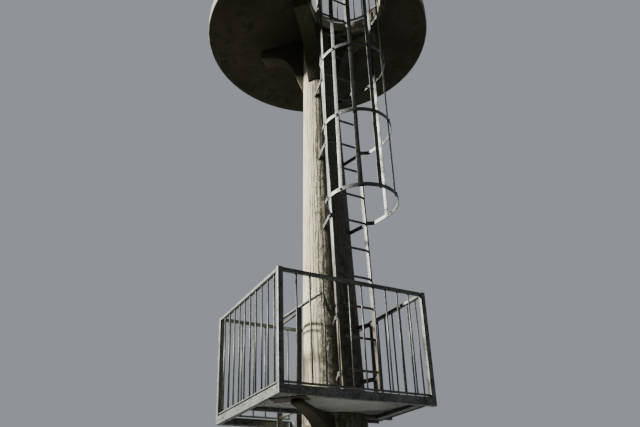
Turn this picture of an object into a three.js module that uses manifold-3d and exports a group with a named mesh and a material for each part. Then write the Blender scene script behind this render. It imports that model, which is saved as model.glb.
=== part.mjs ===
// Observation tower: a tapered concrete column that carries a round concrete disc with a ladder
// hatch, an L-shaped steel landing with bar railings, two ladders and a hooped safety cage.
// Millimetres, +Z up. The origin is on the ground, on the column's axis. The landing's long front
// side runs along X at its lowest Y, and its left side runs along Y at its lowest X.
import * as THREE from 'three';
import { mergeVertices } from 'three/addons/utils/BufferGeometryUtils.js';
import Module from 'manifold-3d';

const wasm = await Module();
wasm.setup();

// Driving dimensions
const seatGap = 0.3;            // clearance between a piece and the face that carries it
const overlap = 2;              // how far the parts of one piece reach into each other
const insideColumn = 100;       // pieces that end at the column start this far from its axis
const farOut = 1000;            // half the width of a box that cuts a piece off
const columnBottomRadius = 362;
const columnTopRadius = 175;
const discUnderside = 7090;
const discThickness = 120;
const discRadius = 1290;
const hatchRadius = 380;
const hatchCentreY = -645;
const landingTop = 2675;        // top of the landing's frame
const landingLeft = -970;
const landingRight = 457;
const landingFront = -886;
const landingBack = 441;
const rightEndY = -40;          // where the right side of the L stops
const backEndX = -250;          // where the back side of the L stops
const channelHeight = 68;
const channelWeb = 6;
const channelFlange = 8;
const postSize = 45;
const railingHeight = 930;
const gratingBottom = 2632;
const gratingThickness = 30;
const barPitch = 121;
const rungSpacing = 300;
const stileOffset = 190;        // half the distance between the two stiles of a ladder
const upperLadderY = -470;      // at the height of its first rung
const lowerLadderX = -460;      // at the height of the landing's frame
const hoopRadius = 337;
const hoopSetOut = 300;         // from the ladder's plane to the cage's centre line
const hoopShift = -37;          // the lowest hoop stands a little to the left of the ladder's middle
const cageDrift = 0.019;        // and the hoops above it further and further to the right

const discTop = discUnderside + discThickness;
const channelBottom = landingTop - channelHeight;
const railTop = landingTop + railingHeight;
const floorTop = gratingBottom + gratingThickness;
const taper = (columnBottomRadius - columnTopRadius) / discUnderside;
const columnRadiusAt = (z) => columnBottomRadius - taper * z;
const leanAngle = Math.atan(taper);      // the ladders lean with the column's surface

// Finishes
const finish = (color, roughness, metalness) => () =>
  new THREE.MeshStandardMaterial({ color, roughness, metalness });
const paleConcrete = finish(0xb9b2a2, 0.92, 0);
const darkConcrete = finish(0x7d796c, 0.95, 0);
const galvanised = finish(0x8d9296, 0.55, 0.7);
const rustedSteel = finish(0x6f6259, 0.75, 0.5);

// Turns a closed geometry into a solid that can be joined and cut
function toSolid(geometry) {
  const bare = geometry.clone();
  bare.deleteAttribute('normal');
  bare.deleteAttribute('uv');
  const merged = mergeVertices(bare.index ? bare.toNonIndexed() : bare, 1e-3);
  return new wasm.Manifold(new wasm.Mesh({
    numProp: 3,
    vertProperties: new Float32Array(merged.attributes.position.array),
    triVerts: new Uint32Array(merged.index.array),
  }));
}

function toGeometry(solid) {
  const mesh = solid.getMesh();
  const geometry = new THREE.BufferGeometry();
  geometry.setAttribute('position', new THREE.BufferAttribute(mesh.vertProperties.slice(), 3));
  geometry.setIndex(new THREE.BufferAttribute(mesh.triVerts.slice(), 1));
  geometry.computeVertexNormals();
  return geometry;
}

const joinAll = (geometries) =>
  toGeometry(geometries.map(toSolid).reduce((sum, solid) => sum.add(solid)));

const cutAway = (geometry, ...tools) =>
  toGeometry(tools.map(toSolid).reduce((rest, tool) => rest.subtract(tool), toSolid(geometry)));

// A box given by its lowest and highest corners
function boxBetween(low, high) {
  const size = high.map((value, axis) => value - low[axis]);
  const centre = high.map((value, axis) => (value + low[axis]) / 2);
  return new THREE.BoxGeometry(...size).translate(...centre);
}

// An upright cylinder from one height to another
function cylinderBetween(radius, bottom, top, x, y, sides) {
  const height = top - bottom;
  return new THREE.CylinderGeometry(radius, radius, height, sides)
    .rotateX(Math.PI / 2)
    .translate(x, y, bottom + height / 2);
}

// A round bar between two points
function rodBetween(start, end, radius, sides = 8) {
  const from = new THREE.Vector3(...start);
  const to = new THREE.Vector3(...end);
  const length = from.distanceTo(to);
  const turn = new THREE.Quaternion().setFromUnitVectors(
    new THREE.Vector3(0, 1, 0), to.clone().sub(from).normalize());
  return new THREE.CylinderGeometry(radius, radius, length, sides)
    .applyQuaternion(turn)
    .translate(...from.add(to).multiplyScalar(0.5).toArray());
}

// A round tube along straight lines with a rounded bend at each corner
function bentTube(points, bend, radius, steps) {
  const corners = points.map((point) => new THREE.Vector3(...point));
  const path = new THREE.CurvePath();
  let start = corners[0];
  for (let i = 1; i < corners.length - 1; i += 1) {
    const before = corners[i - 1].clone().sub(corners[i]).setLength(bend).add(corners[i]);
    const after = corners[i + 1].clone().sub(corners[i]).setLength(bend).add(corners[i]);
    path.add(new THREE.LineCurve3(start, before));
    path.add(new THREE.QuadraticBezierCurve3(before, corners[i], after));
    start = after;
  }
  path.add(new THREE.LineCurve3(start, corners.at(-1)));
  const section = new THREE.Shape().absarc(0, 0, radius, 0, 2 * Math.PI);
  return new THREE.ExtrudeGeometry(section, { steps, extrudePath: path, curveSegments: 5 });
}

const tower = new THREE.Group();

function addPiece(name, geometry, material) {
  const mesh = new THREE.Mesh(geometry, material());
  mesh.name = name;
  tower.add(mesh);
  return mesh;
}

// The column, and a slightly larger copy that cuts a seat for what is cast or fixed against it
const columnSides = 48;
function columnShape(extra, bottom, top) {
  const profile = [
    new THREE.Vector2(0, bottom),
    new THREE.Vector2(columnRadiusAt(bottom) + extra, bottom),
    new THREE.Vector2(columnRadiusAt(top) + extra, top),
    new THREE.Vector2(0, top),
  ];
  return new THREE.LatheGeometry(profile, columnSides).rotateX(Math.PI / 2);
}
addPiece('column', columnShape(0, 0, discUnderside - seatGap), paleConcrete);
const columnSeat = columnShape(seatGap, 0, discUnderside);

// The round disc with its ladder hatch
const discSides = 96;
const hatchSides = 48;
const discBlank = cylinderBetween(discRadius, discUnderside, discTop, 0, 0, discSides);
const hatchTool = cylinderBetween(hatchRadius, 0, 2 * discTop, 0, hatchCentreY, hatchSides);
addPiece('platform_disc', cutAway(discBlank, hatchTool), darkConcrete);

// A concrete bracket that stands out from the column, with a concave curve below. It narrows from
// its root to its tip. The curve leaves the column at its foot, and its two bends are given as
// shares of the bracket's reach, of its depth and of its tip's height.
function concreteBracket({ azimuth, top, reach, depth, tipHeight, rootWidth, tipWidth, footBend, tipBend }) {
  const root = columnRadiusAt(top - depth);
  const outline = new THREE.Shape();
  outline.moveTo(insideColumn, top);
  outline.lineTo(insideColumn, top - depth);
  outline.lineTo(root, top - depth);
  outline.bezierCurveTo(
    root + footBend.out * (reach - root), top - footBend.down * depth,
    root + tipBend.out * (reach - root), top - tipBend.down * tipHeight,
    reach, top - tipHeight);
  outline.lineTo(reach, top);
  outline.closePath();
  const blank = new THREE.ExtrudeGeometry(outline, { depth: 1, bevelEnabled: false, curveSegments: 14 })
    .translate(0, 0, -0.5)
    .rotateX(Math.PI / 2);
  const position = blank.attributes.position;
  for (let i = 0; i < position.count; i += 1) {
    const along = (position.getX(i) - root) / (reach - root);
    position.setY(i, position.getY(i) * THREE.MathUtils.lerp(rootWidth, tipWidth, Math.max(along, 0)));
  }
  blank.rotateZ(THREE.MathUtils.degToRad(azimuth));
  return cutAway(blank, columnSeat);
}

// Four haunches under the disc
const haunchSides = ['back_right', 'back_left', 'front_left', 'front_right'];
haunchSides.forEach((side, i) => {
  addPiece(`haunch_${side}`, concreteBracket({
    azimuth: 45 + 90 * i,
    top: discUnderside - seatGap,
    reach: 690,
    depth: 720,
    tipHeight: 115,
    rootWidth: 175,
    tipWidth: 165,
    footBend: { out: 0.27, down: 0.55 },
    tipBend: { out: 0.15, down: 1.5 },
  }), darkConcrete);
});

// A long corbel carries the landing's near corner
const cornerPlateThickness = 10;
addPiece('landing_corbel', concreteBracket({
  azimuth: 225,
  top: channelBottom - cornerPlateThickness,
  reach: 1120,
  depth: 550,
  tipHeight: 42,
  rootWidth: 160,
  tipWidth: 80,
  footBend: { out: 0, down: 0.268 },
  tipBend: { out: 0.15, down: 1.3 },
}), darkConcrete);

// Landing channels: each has its web outside and its flanges pointing in
function channelAlong({ length, start, heading }) {
  const inside = postSize;
  const outline = new THREE.Shape();
  outline.moveTo(0, 0);
  outline.lineTo(inside, 0);
  outline.lineTo(inside, channelFlange);
  outline.lineTo(channelWeb, channelFlange);
  outline.lineTo(channelWeb, channelHeight - channelFlange);
  outline.lineTo(inside, channelHeight - channelFlange);
  outline.lineTo(inside, channelHeight);
  outline.lineTo(0, channelHeight);
  outline.closePath();
  // The outline's X points inwards, its Y up, and the length runs to the piece's right-hand side
  return new THREE.ExtrudeGeometry(outline, { depth: length, bevelEnabled: false })
    .rotateX(Math.PI / 2)
    .rotateZ(THREE.MathUtils.degToRad(heading))
    .translate(start[0], start[1], channelBottom);
}
const frontLength = landingRight - landingLeft - 2 * postSize;
const leftLength = landingBack - landingFront - 2 * postSize;
const backLength = backEndX - landingLeft - postSize;
addPiece('front_channel', channelAlong({
  length: frontLength, start: [landingLeft + postSize, landingFront], heading: 90,
}), galvanised);
addPiece('left_channel', channelAlong({
  length: leftLength, start: [landingLeft, landingBack - postSize], heading: 0,
}), galvanised);
addPiece('back_channel', channelAlong({
  length: backLength, start: [backEndX, landingBack], heading: 270,
}), galvanised);

// The right side is shallower: a flat bar as high as the floor and the frame's upper part
const rightBarThickness = 8;
const rightInside = landingRight - rightBarThickness;
addPiece('right_edge_bar', boxBetween(
  [rightInside, landingFront + postSize, gratingBottom],
  [landingRight, rightEndY - postSize, landingTop]), galvanised);

// Flat end bars close the L: from the ends of its sides back to the column. The right one runs
// on below the end post.
const endBarThickness = 12;
const endBarBottom = 2612;
const endBarReach = 17;         // how far the right one stops short of the landing's edge
const endPostSeat = boxBetween(
  [landingRight - postSize - seatGap, rightEndY - postSize, gratingBottom - seatGap],
  [landingRight, rightEndY + seatGap, railTop]);
addPiece('right_end_bar', cutAway(boxBetween(
  [insideColumn, rightEndY - endBarThickness, endBarBottom],
  [landingRight - endBarReach, rightEndY, floorTop]), columnSeat, endPostSeat), galvanised);
addPiece('back_end_bar', cutAway(boxBetween(
  [backEndX - endBarThickness, insideColumn, endBarBottom],
  [backEndX, landingBack - postSize, floorTop]), columnSeat), galvanised);

// Bearers under the gratings: one on each side of the column, with the lower ladder's floor hatch
// behind the left one, and an angle from the right one to the front channel
const bearerY = -241;
const bearerWidth = 24;
const bearerFront = bearerY - bearerWidth / 2;
const bearerTop = gratingBottom - seatGap;
addPiece('left_cross_bearer', cutAway(boxBetween(
  [landingLeft + postSize, bearerFront, channelBottom],
  [0, bearerFront + bearerWidth, bearerTop]), columnSeat), galvanised);
addPiece('right_cross_bearer', cutAway(boxBetween(
  [0, bearerFront, channelBottom],
  [rightInside, bearerFront + bearerWidth, bearerTop]), columnSeat), galvanised);
const angleLeft = 275;
const angleWidth = 65;
const angleThickness = 6;
const angleHeight = bearerTop - channelBottom;
const angleOutline = new THREE.Shape();
angleOutline.moveTo(0, 0);
angleOutline.lineTo(angleWidth, 0);
angleOutline.lineTo(angleWidth, angleThickness);
angleOutline.lineTo(angleThickness, angleThickness);
angleOutline.lineTo(angleThickness, angleHeight);
angleOutline.lineTo(0, angleHeight);
angleOutline.closePath();
addPiece('angle_bearer', new THREE.ExtrudeGeometry(angleOutline, {
  depth: bearerFront - landingFront - postSize, bevelEnabled: false,
}).rotateX(Math.PI / 2).translate(angleLeft, bearerFront, channelBottom), galvanised);

// A steel plate across the corner carries the channels on the corbel
const plateCentre = [-810, -730];
const plateLength = 280;
const plateWidth = 145;
addPiece('corner_plate', new THREE.BoxGeometry(plateLength, plateWidth, cornerPlateThickness)
  .rotateZ(-Math.PI / 4)
  .translate(...plateCentre, channelBottom - cornerPlateThickness / 2), rustedSteel);

// Floor gratings between the webs, notched round the posts and the column
const edgeGap = 0.5;
const columnClearance = 15;
const webInside = channelWeb + edgeGap;
const notchSize = postSize + edgeGap;
const columnHole = cylinderBetween(
  columnRadiusAt(gratingBottom) + columnClearance, 0, railTop, 0, 0, columnSides);
const postNotch = (x, y) => boxBetween(
  [x - notchSize, y - notchSize, 0], [x + notchSize, y + notchSize, railTop]);
addPiece('floor_grating_front', cutAway(boxBetween(
  [landingLeft + webInside, landingFront + webInside, gratingBottom],
  [rightInside - edgeGap, bearerY - edgeGap, floorTop]),
columnHole,
postNotch(landingLeft, landingFront),
postNotch(landingRight, landingFront)), galvanised);
addPiece('floor_grating_right', cutAway(boxBetween(
  [150, bearerY + edgeGap, gratingBottom],
  [rightInside - edgeGap, rightEndY - endBarThickness - edgeGap, floorTop]),
columnHole,
postNotch(landingRight, rightEndY)), galvanised);

// Railing posts at the corners and ends of the L
const posts = {
  landing_post_corner: [landingLeft, landingFront, channelBottom],
  landing_post_right: [landingRight - postSize, landingFront, channelBottom],
  landing_post_left: [landingLeft, landingBack - postSize, channelBottom],
  landing_post_end: [landingRight - postSize, rightEndY - postSize, gratingBottom],
};
for (const [name, [x, y, bottom]] of Object.entries(posts)) {
  addPiece(name, boxBetween([x, y, bottom], [x + postSize, y + postSize, railTop]), galvanised);
}

// A railing panel: a top rail, a low rail and upright bars. The bars stand in the middle of the
// panel, or end with one at its end where no post follows. The top rail can run on past the end.
const railSize = 30;
const lowRailHeight = 12;
const lowRailRise = 15;
const barRadius = 7;
function railingPanel({ from, to, bars, endsInBar = false, runOn = 0 }) {
  const length = Math.hypot(to[0] - from[0], to[1] - from[1]);
  const lowRail = landingTop + lowRailRise;
  const firstBar = endsInBar ? length - (bars - 1) * barPitch : (length - (bars - 1) * barPitch) / 2;
  const lowRailEnd = endsInBar ? length + barRadius : length;
  const pieces = [
    boxBetween([0, -railSize / 2, railTop - railSize], [length + runOn, railSize / 2, railTop]),
    boxBetween([0, -railSize / 2, lowRail], [lowRailEnd, railSize / 2, lowRail + lowRailHeight]),
  ];
  for (let i = 0; i < bars; i += 1) {
    const x = firstBar + i * barPitch;
    pieces.push(cylinderBetween(barRadius, lowRail + overlap, railTop - overlap, x, 0, 8));
  }
  return joinAll(pieces)
    .rotateZ(Math.atan2(to[1] - from[1], to[0] - from[0]))
    .translate(from[0], from[1], 0);
}
const half = postSize / 2;
const near = postSize + seatGap;
addPiece('railing_front', railingPanel({
  from: [landingLeft + near, landingFront + half], to: [landingRight - near, landingFront + half], bars: 10,
}), galvanised);
addPiece('railing_left', railingPanel({
  from: [landingLeft + half, landingFront + near], to: [landingLeft + half, landingBack - near], bars: 10,
}), galvanised);
addPiece('railing_right', railingPanel({
  from: [landingRight - half, landingFront + near], to: [landingRight - half, rightEndY - near], bars: 6,
}), galvanised);
const farRailEnd = landingRight - half + railSize / 2;
addPiece('railing_back', railingPanel({
  from: [landingLeft + near, landingBack - half],
  to: [backEndX - barRadius, landingBack - half],
  bars: 6,
  endsInBar: true,
  runOn: farRailEnd - backEndX + barRadius,
}), galvanised);

// The right top rail also runs on behind the column, up to the back one
addPiece('right_end_rail', boxBetween(
  [farRailEnd - railSize, rightEndY + seatGap, railTop - railSize],
  [farRailEnd, landingBack - half - railSize / 2 - seatGap, railTop]), galvanised);

// A ladder is drawn in its own plane, with its width along X and its climbing side towards -Y
const stileThickness = 16;
const stileDepth = 50;
const rungRadius = 11;
function ladderSolid({ bottom, top, rungHeights }) {
  const pieces = [-1, 1].map((side) => boxBetween(
    [side * stileOffset - stileThickness / 2, -stileDepth / 2, bottom],
    [side * stileOffset + stileThickness / 2, stileDepth / 2, top]));
  for (const z of rungHeights) {
    pieces.push(rodBetween([-stileOffset, 0, z], [stileOffset, 0, z], rungRadius, 8));
  }
  return joinAll(pieces);
}

// A curved bar of rectangular section between two angles
const ringSegments = 8;
function ringSector({ radius, width, bottom, height, from, to }) {
  const outline = new THREE.Shape();
  outline.absarc(0, 0, radius + width / 2, from, to, false);
  outline.absarc(0, 0, radius - width / 2, to, from, true);
  outline.closePath();
  return new THREE.ExtrudeGeometry(outline, {
    depth: height, bevelEnabled: false, curveSegments: ringSegments,
  }).translate(0, 0, bottom);
}

// A flat upright strip between two points
function flatStrip(start, end, thickness, bottom, height) {
  const length = Math.hypot(end[0] - start[0], end[1] - start[1]);
  return boxBetween([0, -thickness / 2, bottom], [length, thickness / 2, bottom + height])
    .rotateZ(Math.atan2(end[1] - start[1], end[0] - start[0]))
    .translate(start[0], start[1], 0);
}

// Flat arms run from tabs outside both stiles inwards to the column's face, where a strip that
// hugs the column joins them. The distance is from the ladder's plane to the column's axis.
const stileFace = stileOffset + stileThickness / 2 + seatGap;
const stripHeight = 40;
const stripThickness = 8;
const armFoot = 120;            // from the middle of the column's face to where an arm meets it
const stripEnd = 22;            // how far the strip reaches past the arms
const tabLength = 58;           // from the stile's front edge to where the arm bends inwards
const cageArmFoot = 150;        // the cage's arms stand wider, and each has its own foot bent inwards
const footLength = 50;
function columnBracket(z, distance, foot = armFoot, ownFeet = false) {
  const radius = columnRadiusAt(z);
  const bottom = z - stripHeight / 2;
  const armX = stileFace + stripThickness / 2;
  const bendY = -distance - stileDepth / 2 + tabLength;
  const armEnd = -Math.sqrt(radius ** 2 - foot ** 2) + overlap;
  const arms = [-1, 1].flatMap((side) => [
    flatStrip([side * armX, -distance - stileDepth / 2], [side * armX, bendY + overlap],
      stripThickness, bottom, stripHeight),
    flatStrip([side * armX, bendY], [side * foot, armEnd],
      stripThickness, bottom, stripHeight),
  ]);
  const hugging = (from, to) => ringSector({
    radius: radius + stripThickness / 2,
    width: stripThickness + 3 * overlap,
    bottom,
    height: stripHeight,
    from: Math.asin(from / radius) - Math.PI / 2,
    to: Math.asin(to / radius) - Math.PI / 2,
  });
  const inner = foot - footLength;
  const outer = foot + stripThickness / 2;
  const strips = ownFeet
    ? [hugging(-outer, -inner), hugging(inner, outer)]
    : [hugging(-foot - stripEnd, foot + stripEnd)];
  return joinAll([...arms, ...strips]);
}

// The upper ladder stands on the landing, leans with the column and rises above the disc
const upperFirstRung = 2964;
const upperRungs = 18;
const upperLadderTop = discTop + 1000;
const leanUpper = (geometry) => geometry.rotateX(-leanAngle).translate(0, upperLadderY, upperFirstRung);
const upperPlaneY = (z) => upperLadderY + taper * (z - upperFirstRung);
const belowFloor = boxBetween([-farOut, -farOut, 0], [farOut, farOut, floorTop + seatGap]);
addPiece('upper_ladder', cutAway(leanUpper(ladderSolid({
  bottom: floorTop - upperFirstRung - 10 * overlap,
  top: upperLadderTop - upperFirstRung,
  rungHeights: Array.from({ length: upperRungs }, (_, i) => i * rungSpacing),
})), belowFloor), galvanised);
[2920, 3430].forEach((z, i) => {
  addPiece(`upper_bracket_${i + 1}`, cutAway(columnBracket(z, -upperPlaneY(z)), columnSeat), galvanised);
});

// The lower ladder has rungs up to the landing's floor. Its stiles go on to the guard rail, with one
// thin tie bar between them.
const guardRadius = 15;
const guardHeight = railTop - guardRadius;
const lowerRungs = 9;
const lowerFirstRung = 250;
const tieHeight = 3530;
const lowerBottom = 120;
const turnLeft = -Math.PI / 2;
const stileTop = guardHeight - guardRadius - seatGap;
const aboveGuard = boxBetween([-farOut, -farOut, stileTop], [farOut, farOut, discTop]);
const lowerRungHeights = Array.from({ length: lowerRungs }, (_, i) => lowerFirstRung + i * rungSpacing);
addPiece('lower_ladder', cutAway(ladderSolid({
  bottom: lowerBottom - landingTop,
  top: railTop - landingTop,
  rungHeights: [...lowerRungHeights, tieHeight].map((z) => z - landingTop),
}).rotateX(-leanAngle).rotateZ(turnLeft).translate(lowerLadderX, 0, landingTop), aboveGuard), galvanised);
const lowerPlaneX = (z) => lowerLadderX + taper * (z - landingTop);
[450, 1100, 1750].forEach((z, i) => {
  addPiece(`lower_bracket_${i + 1}`, cutAway(
    columnBracket(z, -lowerPlaneX(z)).rotateZ(turnLeft), columnSeat), galvanised);
});

// The guard rail lies on the lower ladder's stiles, runs on to the front and bends back to the column
const guardX = lowerPlaneX(guardHeight);
const guardBend = 70;
const guardCorner = [guardX + 30, -575, guardHeight];
const guardEnd = [-100, -140, guardHeight];      // inside the column, which cuts it off
addPiece('inner_guard_rail', cutAway(bentTube(
  [[guardX, stileOffset + 20, guardHeight], guardCorner, guardEnd],
  guardBend, guardRadius, 24), columnSeat), galvanised);

// The safety cage: flat hoops round the climbing space, and upright straps inside them. A hoop's
// ends run on straight and turn in to the stiles. The lower three hoops have arms to the column.
const hoopThickness = 6;
const hoopMiddle = hoopRadius + hoopThickness / 2;
const hoopCorner = [295, 245];  // where the straight right end turns in, from the cage's centre line
const hoopEndAngle = 20;        // degrees, the left end turns in straight from the arc
const leftHoopCorner = new THREE.Vector2(hoopMiddle, 0)
  .rotateAround(new THREE.Vector2(), THREE.MathUtils.degToRad(hoopEndAngle)).toArray();
const topHoopCorner = [240, 252];       // the top hoop's ends pass between two haunches
const hoopTabY = -16;           // where it meets the stile's side, from the ladder's plane
const hoopHeights = [4460, 5300, 6140, 6980];
const shiftAt = (z) => hoopShift + cageDrift * (z - hoopHeights[0]);
function cageHoop(shift, corners) {
  const arcEnds = corners.map(([x, y]) =>
    Math.atan2(y, x) - Math.acos(Math.min(1, hoopMiddle / Math.hypot(x, y))));
  const [leftEnd, rightEnd] = arcEnds;
  const outline = new THREE.Shape();
  const outer = hoopRadius + hoopThickness;
  outline.absarc(0, 0, outer, rightEnd, Math.PI - leftEnd, true);
  outline.absarc(0, 0, hoopRadius, Math.PI - leftEnd, rightEnd, false);
  outline.closePath();
  const ring = new THREE.ExtrudeGeometry(outline, {
    depth: stripHeight, bevelEnabled: false, curveSegments: 18,
  }).translate(shift, -hoopSetOut, 0);
  const armX = stileFace + stripThickness / 2;
  const ends = [-1, 1].flatMap((side, i) => {
    const ringAngle = arcEnds[i] - overlap / hoopMiddle;
    const ringEnd = [
      shift + side * hoopMiddle * Math.cos(ringAngle), hoopMiddle * Math.sin(ringAngle) - hoopSetOut];
    const corner = [shift + side * corners[i][0], corners[i][1] - hoopSetOut];
    const atStile = [side * armX, hoopTabY];
    return [
      flatStrip(ringEnd, corner, hoopThickness, 0, stripHeight),
      flatStrip([corner[0] + side * overlap, corner[1]], atStile, hoopThickness, 0, stripHeight),
      flatStrip([side * armX, -stileDepth / 2], [side * armX, stileDepth / 2], stripThickness, 0, stripHeight),
    ];
  });
  return joinAll([ring, ...ends]).translate(0, 0, -stripHeight / 2);
}
hoopHeights.forEach((z, i) => {
  const touchesColumn = i < hoopHeights.length - 1;
  const corners = touchesColumn ? [leftHoopCorner, hoopCorner] : [topHoopCorner, topHoopCorner];
  const hoop = leanUpper(cageHoop(shiftAt(z), corners).translate(0, 0, z - upperFirstRung));
  const withArms = () => cutAway(
    joinAll([hoop, columnBracket(z, -upperPlaneY(z), cageArmFoot, true)]), columnSeat);
  addPiece(`cage_hoop_${i + 1}`, touchesColumn ? withArms() : hoop, galvanised);
});
const strapAngles = [175, 205, 236, 268, 303, 372];
const strapWidth = 40;
const strapThickness = 5;
const strapSeat = 1.5;          // keeps the straps' flat backs just inside the hoops' facets
const strapBottom = hoopHeights[0] - stripHeight / 2 - upperFirstRung;
const strapTop = discTop - upperFirstRung;
const strapDrift = new THREE.Matrix4().makeShear(0, 0, 0, 0, cageDrift, 0);
strapAngles.forEach((degrees, i) => {
  const inner = hoopRadius - strapThickness - strapSeat;
  const strap = boxBetween(
    [inner, -strapWidth / 2, strapBottom], [inner + strapThickness, strapWidth / 2, strapTop])
    .rotateZ(THREE.MathUtils.degToRad(degrees))
    .applyMatrix4(strapDrift)
    .translate(shiftAt(upperFirstRung), -hoopSetOut, 0);
  addPiece(`cage_strap_${i + 1}`, leanUpper(strap), galvanised);
});

// The railing round the disc, in quarters: curved rails, square posts and upright bars
const discRailRadius = 1160;
const discRailTop = discTop + 1000;
const discLowRail = discTop + 80;
const discPostSize = 40;
function curvedRailing({ radius, fromDegrees, toDegrees, postDegrees, bars }) {
  const from = THREE.MathUtils.degToRad(fromDegrees);
  const to = THREE.MathUtils.degToRad(toDegrees);
  const pieces = [
    ringSector({ radius, width: railSize, bottom: discRailTop - railSize, height: railSize, from, to }),
    ringSector({ radius, width: railSize, bottom: discLowRail, height: lowRailHeight, from, to }),
  ];
  for (const degrees of postDegrees) {
    pieces.push(boxBetween(
      [radius - discPostSize / 2, -discPostSize / 2, discTop],
      [radius + discPostSize / 2, discPostSize / 2, discRailTop - overlap])
      .rotateZ(THREE.MathUtils.degToRad(degrees)));
  }
  for (let i = 1; i <= bars; i += 1) {
    const angle = from + (to - from) * i / (bars + 1);
    const x = radius * Math.cos(angle);
    const y = radius * Math.sin(angle);
    pieces.push(cylinderBetween(barRadius, discLowRail + overlap, discRailTop - overlap, x, y, 6));
  }
  return joinAll(pieces);
}
haunchSides.forEach((side, i) => {
  const start = 90 * i;
  addPiece(`disc_railing_${side}`, curvedRailing({
    radius: discRailRadius,
    fromDegrees: start + 0.02,
    toDegrees: start + 89.98,
    postDegrees: [start + 15, start + 75],
    bars: 14,
  }), galvanised);
});

// A guard with upright bars round the hatch, open on the left where people step out
const hatchGuardRadius = 435;
addPiece('hatch_guard_right', curvedRailing({
  radius: hatchGuardRadius, fromDegrees: -50, toDegrees: 110, postDegrees: [-47, 107], bars: 11,
}).translate(0, hatchCentreY, 0), galvanised);
addPiece('hatch_guard_left', curvedRailing({
  radius: hatchGuardRadius, fromDegrees: 186, toDegrees: 230, postDegrees: [189, 227], bars: 2,
}).translate(0, hatchCentreY, 0), galvanised);

export default tower;
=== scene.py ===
import math
import random

import bmesh
import bpy
from mathutils import Matrix, Vector


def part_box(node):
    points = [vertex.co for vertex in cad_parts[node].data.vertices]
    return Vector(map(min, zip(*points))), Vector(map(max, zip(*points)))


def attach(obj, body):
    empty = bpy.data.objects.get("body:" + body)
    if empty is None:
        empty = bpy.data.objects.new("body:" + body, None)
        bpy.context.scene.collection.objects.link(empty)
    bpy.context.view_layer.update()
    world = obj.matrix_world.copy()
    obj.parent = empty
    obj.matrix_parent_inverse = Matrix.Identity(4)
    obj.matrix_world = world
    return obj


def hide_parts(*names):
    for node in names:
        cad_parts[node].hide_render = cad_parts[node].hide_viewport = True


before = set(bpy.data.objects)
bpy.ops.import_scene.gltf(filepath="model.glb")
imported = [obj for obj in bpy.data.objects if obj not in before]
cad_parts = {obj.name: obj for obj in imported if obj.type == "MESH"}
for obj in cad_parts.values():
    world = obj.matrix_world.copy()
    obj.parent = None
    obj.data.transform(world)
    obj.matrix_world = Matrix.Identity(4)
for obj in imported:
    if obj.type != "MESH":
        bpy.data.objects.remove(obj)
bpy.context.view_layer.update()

# Observation tower: concrete column and disc, steel landing, two ladders and a safety cage.
# Metres, +Z up. The landing's front side faces -Y.
random.seed(11)
print("frame loaded:", len(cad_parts), "nodes")


# The tower's main sizes

tower = {
    "columnFoot": 0.362, "columnHead": 0.175, "discUnder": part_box("platform_disc")[0][2],
    "discTop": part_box("platform_disc")[1][2], "discRadius": 1.29, "hatchRadius": 0.38,
    "hatchY": -0.645, "landingTop": 2.675, "channelBottom": 2.607, "railTop": 3.605,
    "gratingBottom": 2.632, "floorTop": 2.662, "discRailHigh": 1.0,
    "left": -0.970, "right": 0.457, "front": -0.886, "back": 0.441, "rightEnd": -0.040,
    "backEnd": -0.250, "post": 0.045, "stileOffset": 0.190, "upperY": -0.470, "upperRung": 2.964,
    "lowerX": -0.460, "barPitch": 0.121, "guardRadius": 0.015,
    "gap": 0.0003, "plate": 0.0101,     # left between pieces that meet, and between corbel and channels
}
taper = (tower["columnFoot"] - tower["columnHead"]) / tower["discUnder"]
lean = math.atan(taper)
turnLeft = Matrix.Rotation(-math.pi / 2, 4, "Z")
upperPlace = Matrix.Translation((0, tower["upperY"], tower["upperRung"])) @ Matrix.Rotation(-lean, 4, "X")
lowerPlace = (Matrix.Translation((tower["lowerX"], 0, tower["landingTop"]))
              @ turnLeft @ Matrix.Rotation(-lean, 4, "X"))
leftSide, rightSide, frontSide, backSide = (tower[key] for key in ("left", "right", "front", "back"))
post, gap = tower["post"], tower["gap"]
quarters = ("back_right", "back_left", "front_left", "front_right")


def columnRadius(z):
    return tower["columnFoot"] - taper * z


# Mesh helpers

def polar(radius, angle, centre=(0, 0)):
    return centre[0] + radius * math.cos(angle), centre[1] + radius * math.sin(angle)


def outward(angle):
    return Vector((*polar(1, angle), 0))


def roundedRect(width, height, radius, steps=3):
    points = []
    for sx, sy, start in ((1, 1, 0), (-1, 1, 90), (-1, -1, 180), (1, -1, 270)):
        centre = sx * (width / 2 - radius), sy * (height / 2 - radius)
        points += [polar(radius, math.radians(start + 90 * k / steps), centre) for k in range(steps + 1)]
    return points


def circle(radius, sides):
    return [polar(radius, 2 * math.pi * k / sides) for k in range(sides)]


def arcPoints(centre, radius, fromAngle, toAngle, steps, z=0.0):
    angles = (fromAngle + (toAngle - fromAngle) * k / steps for k in range(steps + 1))
    return [Vector((*polar(radius, angle, centre), z)) for angle in angles]


def addObject(name, data):
    made = bpy.data.objects.new(name, data)
    bpy.context.scene.collection.objects.link(made)
    return made


def meshObject(name, points, edges=(), faces=()):
    mesh = bpy.data.meshes.new(name)
    mesh.from_pydata([tuple(p) for p in points], edges, faces)
    return addObject(name, mesh)


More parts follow.
